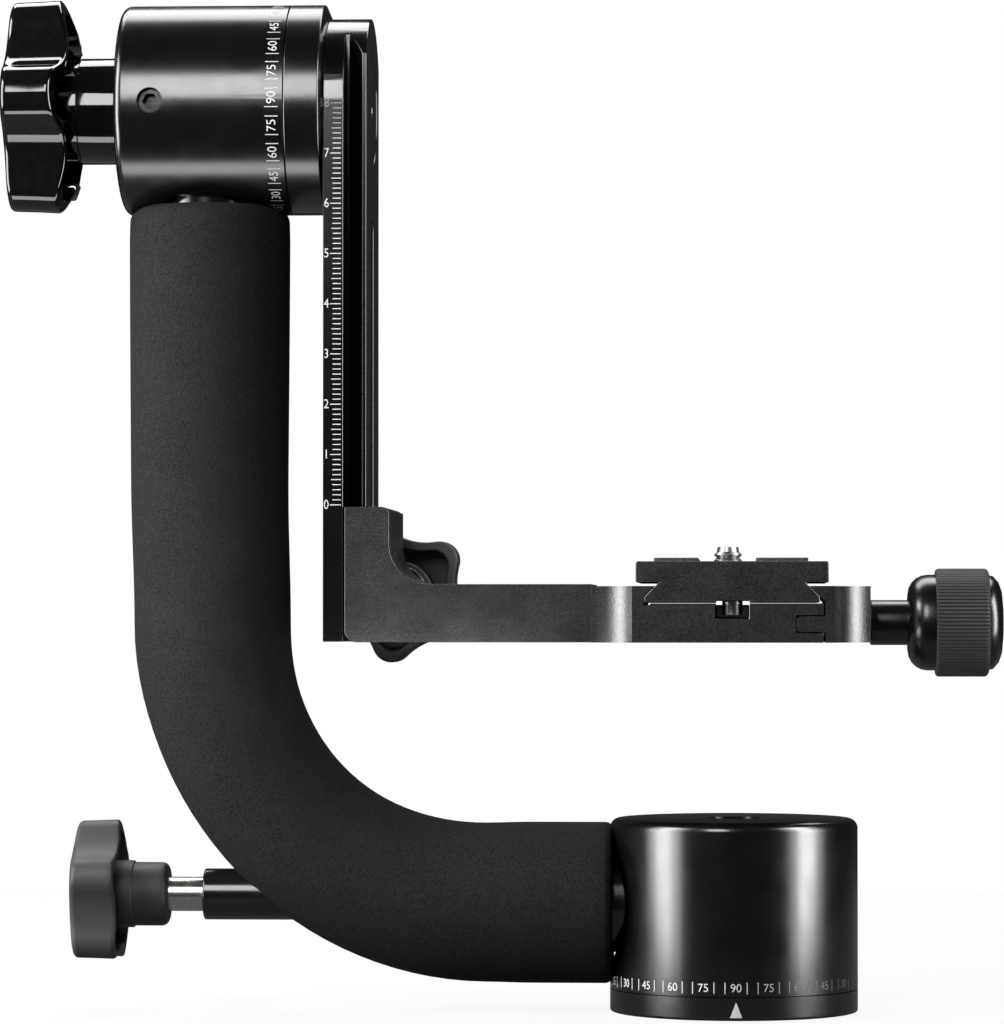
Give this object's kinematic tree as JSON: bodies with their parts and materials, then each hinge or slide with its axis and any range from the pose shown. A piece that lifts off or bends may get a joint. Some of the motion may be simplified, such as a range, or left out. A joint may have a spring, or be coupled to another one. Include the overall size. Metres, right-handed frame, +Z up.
{
  "type": "gimbal tripod head",
  "caption": "Side-mount gimbal tripod head: panning base, foam-gripped J arm, tilting swing arm on bearings and a sliding platform with a quick-release clamp and plate.",
  "frame": {"origin": "centre of the base's bottom face on the pan axis, at the mouth of the tripod thread", "axes": "+Z up along the pan axis, +X from the arm towards the clamp knob, Y along the lens"},
  "size_m": [0.2213, 0.0661, 0.2257],
  "materials": {
    "black_anodised": "satin black anodised aluminium",
    "sandblasted_black": "sandblasted black anodised aluminium, fine grain",
    "black_tube": "smooth black",
    "foam": "closed-cell foam, matte, fine mottled grain",
    "gloss_knob": "piano gloss black",
    "matte_knob": "fine matte black",
    "ribbed_rubber": "ribbed rubber",
    "nickel": "bright nickel plate",
    "bearing_steel": "polished",
    "nylon": "moulded nylon",
    "zinc_steel": "machined steel"
  },
  "bodies": {
    "base": {"base_plate": "black_anodised", "tripod_thread_insert": "zinc_steel", "pan_spindle": "zinc_steel", "base_screws": "zinc_steel", "pan_lower_bearing_inner_race": "bearing_steel", "pan_upper_bearing_inner_race": "bearing_steel", "pan_washer": "zinc_steel", "pan_spindle_screw": "nickel"},
    "pan": {"pan_housing": "black_anodised", "pan_retaining_ring": "zinc_steel", "arm_set_screw": "zinc_steel", "arm_tube": "black_tube", "arm_plug": "zinc_steel", "arm_bolt": "zinc_steel", "foam_grip": "foam", "lock_guide_tube": "black_tube", "lock_guide_bush": "zinc_steel", "pan_lower_bearing_outer_race": "bearing_steel", "pan_lower_bearing_balls": "bearing_steel", "pan_upper_bearing_outer_race": "bearing_steel", "pan_upper_bearing_balls": "bearing_steel", "tilt_housing": "black_anodised", "tilt_set_screw": "nickel", "tilt_left_bearing_outer_race": "bearing_steel", "tilt_left_bearing_balls": "bearing_steel", "tilt_right_bearing_outer_race": "bearing_steel", "tilt_right_bearing_balls": "bearing_steel", "tilt_retaining_ring": "zinc_steel"},
    "swing": {"tilt_spindle": "zinc_steel", "tilt_rotor": "black_anodised", "swing_arm": "black_anodised", "swing_arm_screws": "zinc_steel", "swing_cap": "black_anodised", "tilt_spindle_nut": "zinc_steel", "tilt_left_bearing_inner_race": "bearing_steel", "tilt_right_bearing_inner_race": "bearing_steel"},
    "platform": {"platform_bracket": "sandblasted_black", "clamp_body": "sandblasted_black", "clamp_dowels": "zinc_steel", "clamp_stop_key": "nickel"},
    "rail_clamp": {"rail_jaw": "sandblasted_black"},
    "rail_knob": {"rail_lock_knob": "matte_knob", "rail_lock_screw": "nickel"},
    "jaw": {"clamp_jaw": "sandblasted_black"},
    "jaw_knob": {"clamp_knob": "gloss_knob", "clamp_knob_grip": "ribbed_rubber", "clamp_screw": "nickel"},
    "plate": {"release_plate": "sandblasted_black", "plate_rubber_pads": "ribbed_rubber", "plate_stop_screws": "nickel"},
    "camera_bolt": {"camera_screw": "nickel"},
    "pan_brake": {"pan_brake_pad": "nylon"},
    "pan_lock": {"pan_lock_knob": "matte_knob", "pan_lock_rod": "nickel"},
    "tilt_brake": {"tilt_brake_pad": "nylon"},
    "tilt_lock": {"tilt_lock_knob": "gloss_knob", "tilt_lock_stud": "nickel"}
  },
  "joints": [
    {"name": "pan_turn", "type": "hinge", "parent": "base", "child": "pan", "pos_m": [0, 0, 0.02], "axis": [0, 0, 1], "continuous": true},
    {"name": "tilt_swing", "type": "hinge", "parent": "pan", "child": "swing", "pos_m": [-0.09, 0, 0.201], "axis": [1, 0, 0], "continuous": true},
    {"name": "platform_slide", "type": "slide", "parent": "swing", "child": "platform", "axis": [0, 0, 1], "range_m": [0, 0.088]},
    {"name": "rail_jaw_slide", "type": "slide", "parent": "platform", "child": "rail_clamp", "axis": [0, 1, 0], "range_m": [0, 0.001]},
    {"name": "rail_knob_turn", "type": "hinge", "parent": "rail_clamp", "child": "rail_knob", "pos_m": [-0.07625, 0.03, 0.0927], "axis": [0, 1, 0], "range_deg": [0, 361]},
    {"name": "clamp_jaw_slide", "type": "slide", "parent": "platform", "child": "jaw", "axis": [1, 0, 0], "range_m": [0, 0.003]},
    {"name": "clamp_knob_turn", "type": "hinge", "parent": "jaw", "child": "jaw_knob", "pos_m": [0.04, 0, 0.0862], "axis": [1, 0, 0], "range_deg": [0, 1081]},
    {"name": "plate_slide", "type": "slide", "parent": "platform", "child": "plate", "axis": [0, 1, 0], "range_m": [-0.015, 0.015]},
    {"name": "camera_screw_turn", "type": "hinge", "parent": "plate", "child": "camera_bolt", "pos_m": [-0.0012, 0, 0.0996], "axis": [0, 0, 1], "continuous": true},
    {"name": "pan_brake_slide", "type": "slide", "parent": "pan", "child": "pan_brake", "axis": [-1, 0, 0], "range_m": [0, 0.001]},
    {"name": "pan_lock_turn", "type": "hinge", "parent": "pan_brake", "child": "pan_lock", "pos_m": [-0.13, 0, 0.0255], "axis": [-1, 0, 0], "range_deg": [0, 361]},
    {"name": "tilt_brake_slide", "type": "slide", "parent": "pan", "child": "tilt_brake", "axis": [-1, 0, 0], "range_m": [0, 0.00125]},
    {"name": "tilt_lock_turn", "type": "hinge", "parent": "tilt_brake", "child": "tilt_lock", "pos_m": [-0.15, 0, 0.201], "axis": [-1, 0, 0], "range_deg": [0, 361]}
  ],
  "couplings": [
    {"joint": "rail_knob_turn", "follows": "rail_jaw_slide", "rad_per_m": 6283.2},
    {"joint": "clamp_knob_turn", "follows": "clamp_jaw_slide", "rad_per_m": 6283.2},
    {"joint": "pan_lock_turn", "follows": "pan_brake_slide", "rad_per_m": 6283.2},
    {"joint": "tilt_lock_turn", "follows": "tilt_brake_slide", "rad_per_m": 5026.5}
  ]
}
